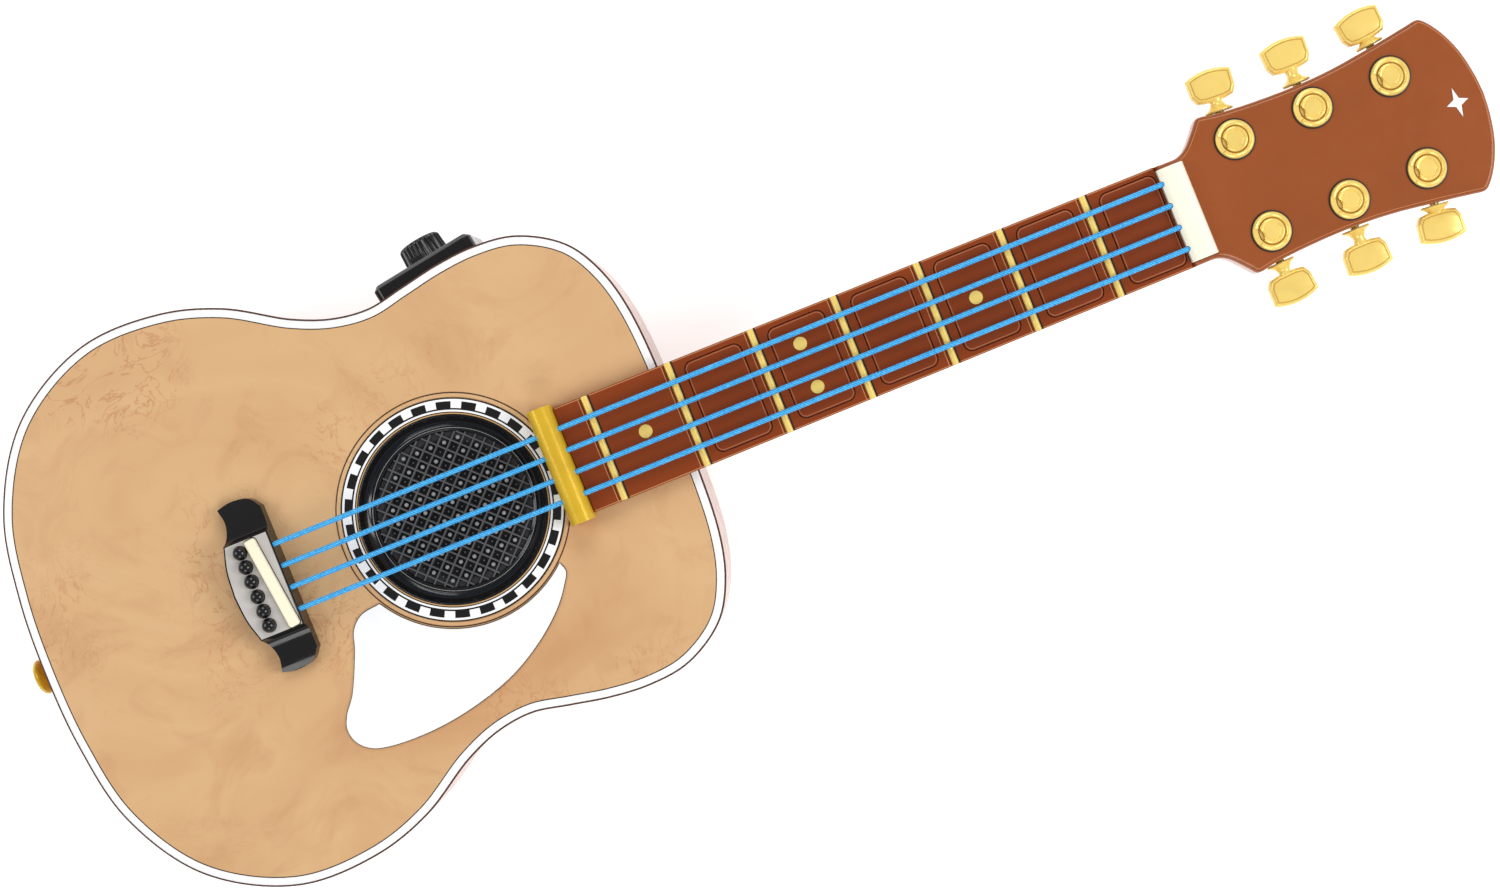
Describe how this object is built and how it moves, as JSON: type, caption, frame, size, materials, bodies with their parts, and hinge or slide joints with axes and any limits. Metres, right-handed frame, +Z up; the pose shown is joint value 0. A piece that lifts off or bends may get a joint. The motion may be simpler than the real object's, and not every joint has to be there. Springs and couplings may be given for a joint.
{
  "type": "toy guitar",
  "caption": "Toy guitar of acoustic shape with press keys in the neck, a speaker behind the sound hole, turning tuner keys, volume knob, slide switch and battery door.",
  "frame": {"origin": "middle of the guitar's length and width, on the plane its back rests on", "axes": "+X along the neck from tail to headstock, +Y across the strings towards the volume knob's side, +Z up out of the soundboard"},
  "size_m": [0.7114, 0.266, 0.0758],
  "materials": {
    "brown_shell": "gloss, moulded, red-brown",
    "brown_key": "gloss, moulded, dark red-brown",
    "tan_top": "printed wood look under clear gloss",
    "white_gloss": "gloss white",
    "black_gloss": "gloss black",
    "grey_plate": "satin grey, painted",
    "cream_plastic": "semi-gloss cream",
    "blue_cord": "braided cord",
    "gold_plated": "gold metallised plastic",
    "pad_rubber": "moulded silicone",
    "circuit_green": "laminate with solder mask",
    "screw_steel": "zinc plated",
    "cell_wrap": "printed sleeve",
    "black_cone": "paper cone and steel basket"
  },
  "bodies": {
    "guitar": {"back_shell": "brown_shell", "soundboard": "tan_top", "binding": "white_gloss", "rosette": "white_gloss", "speaker_grille": "black_gloss", "speaker_driver": "black_cone", "pickguard": "white_gloss", "bridge": "black_gloss", "bridge_plate": "grey_plate", "saddle": "cream_plastic", "bridge_pins": "black_gloss", "string_bar": "gold_plated", "neck_shell": "brown_shell", "fretboard": "brown_shell", "key_pad_strip": "pad_rubber", "key_circuit_strip": "circuit_green", "nut": "cream_plastic", "headstock_face": "brown_shell", "headstock_inlay": "white_gloss", "control_plate": "black_gloss", "control_board": "circuit_green", "strap_button_tail": "gold_plated", "strap_button_heel": "gold_plated", "circuit_board": "circuit_green", "string_1": "blue_cord", "string_2": "blue_cord", "string_3": "blue_cord", "string_4": "blue_cord", "fret_1": "gold_plated", "fret_2": "gold_plated", "fret_3": "gold_plated", "fret_4": "gold_plated", "fret_5": "gold_plated", "fret_6": "gold_plated", "fret_7": "gold_plated", "tuner_post_1": "gold_plated", "tuner_post_2": "gold_plated", "tuner_post_3": "gold_plated", "tuner_post_4": "gold_plated", "tuner_post_5": "gold_plated", "tuner_post_6": "gold_plated", "battery_1": "cell_wrap", "battery_2": "cell_wrap", "battery_3": "cell_wrap"},
    "fret_key_1": {"fret_key_1": "brown_key"},
    "fret_key_2": {"fret_key_2": "brown_key"},
    "fret_key_3": {"fret_key_3": "brown_key"},
    "fret_key_4": {"fret_key_4": "brown_key"},
    "fret_key_5": {"fret_key_5": "brown_key"},
    "fret_key_6": {"fret_key_6": "brown_key"},
    "tuner_key_1": {"tuner_key_1": "gold_plated"},
    "tuner_key_2": {"tuner_key_2": "gold_plated"},
    "tuner_key_3": {"tuner_key_3": "gold_plated"},
    "tuner_key_4": {"tuner_key_4": "gold_plated"},
    "tuner_key_5": {"tuner_key_5": "gold_plated"},
    "tuner_key_6": {"tuner_key_6": "gold_plated"},
    "volume_knob": {"volume_knob": "black_gloss"},
    "mode_slider": {"mode_slider": "black_gloss"},
    "battery_door": {"battery_door": "brown_shell", "battery_door_screw": "screw_steel"}
  },
  "joints": [
    {"name": "fret_key_1_press", "type": "slide", "parent": "guitar", "child": "fret_key_1", "axis": [0, 0, -1], "range_m": [0, 0.0015], "stiffness_N_per_m": 500, "springref_m": -0.001},
    {"name": "fret_key_2_press", "type": "slide", "parent": "guitar", "child": "fret_key_2", "axis": [0, 0, -1], "range_m": [0, 0.0015], "stiffness_N_per_m": 500, "springref_m": -0.001},
    {"name": "fret_key_3_press", "type": "slide", "parent": "guitar", "child": "fret_key_3", "axis": [0, 0, -1], "range_m": [0, 0.0015], "stiffness_N_per_m": 500, "springref_m": -0.001},
    {"name": "fret_key_4_press", "type": "slide", "parent": "guitar", "child": "fret_key_4", "axis": [0, 0, -1], "range_m": [0, 0.0015], "stiffness_N_per_m": 500, "springref_m": -0.001},
    {"name": "fret_key_5_press", "type": "slide", "parent": "guitar", "child": "fret_key_5", "axis": [0, 0, -1], "range_m": [0, 0.0015], "stiffness_N_per_m": 500, "springref_m": -0.001},
    {"name": "fret_key_6_press", "type": "slide", "parent": "guitar", "child": "fret_key_6", "axis": [0, 0, -1], "range_m": [0, 0.0015], "stiffness_N_per_m": 500, "springref_m": -0.001},
    {"name": "tuner_key_1_turn", "type": "hinge", "parent": "guitar", "child": "tuner_key_1", "pos_m": [0.24165, 0, 0.0552], "axis": [0.0523, 0.9986, 0], "continuous": true},
    {"name": "tuner_key_2_turn", "type": "hinge", "parent": "guitar", "child": "tuner_key_2", "pos_m": [0.28065, 0, 0.0552], "axis": [0, 1, 0], "continuous": true},
    {"name": "tuner_key_3_turn", "type": "hinge", "parent": "guitar", "child": "tuner_key_3", "pos_m": [0.32185, 0, 0.0552], "axis": [-0.1045, 0.9945, 0], "continuous": true},
    {"name": "tuner_key_4_turn", "type": "hinge", "parent": "guitar", "child": "tuner_key_4", "pos_m": [0.24165, 0, 0.0552], "axis": [0.0523, -0.9986, 0], "continuous": true},
    {"name": "tuner_key_5_turn", "type": "hinge", "parent": "guitar", "child": "tuner_key_5", "pos_m": [0.28065, 0, 0.0552], "axis": [0, -1, 0], "continuous": true},
    {"name": "tuner_key_6_turn", "type": "hinge", "parent": "guitar", "child": "tuner_key_6", "pos_m": [0.32185, 0, 0.0552], "axis": [-0.1045, -0.9945, 0], "continuous": true},
    {"name": "volume_knob_turn", "type": "hinge", "parent": "guitar", "child": "volume_knob", "pos_m": [-0.11586, 0.10771, 0.027], "axis": [-0.1633, 0.9866, 0], "range_deg": [0, 280]},
    {"name": "mode_slider_slide", "type": "slide", "parent": "guitar", "child": "mode_slider", "axis": [0.9866, 0.1633, 0], "range_m": [0, 0.006]},
    {"name": "battery_door_hinge", "type": "hinge", "parent": "guitar", "child": "battery_door", "pos_m": [-0.27935, 0, 0.0016], "axis": [0, 1, 0], "range_deg": [0, 80]}
  ]
}
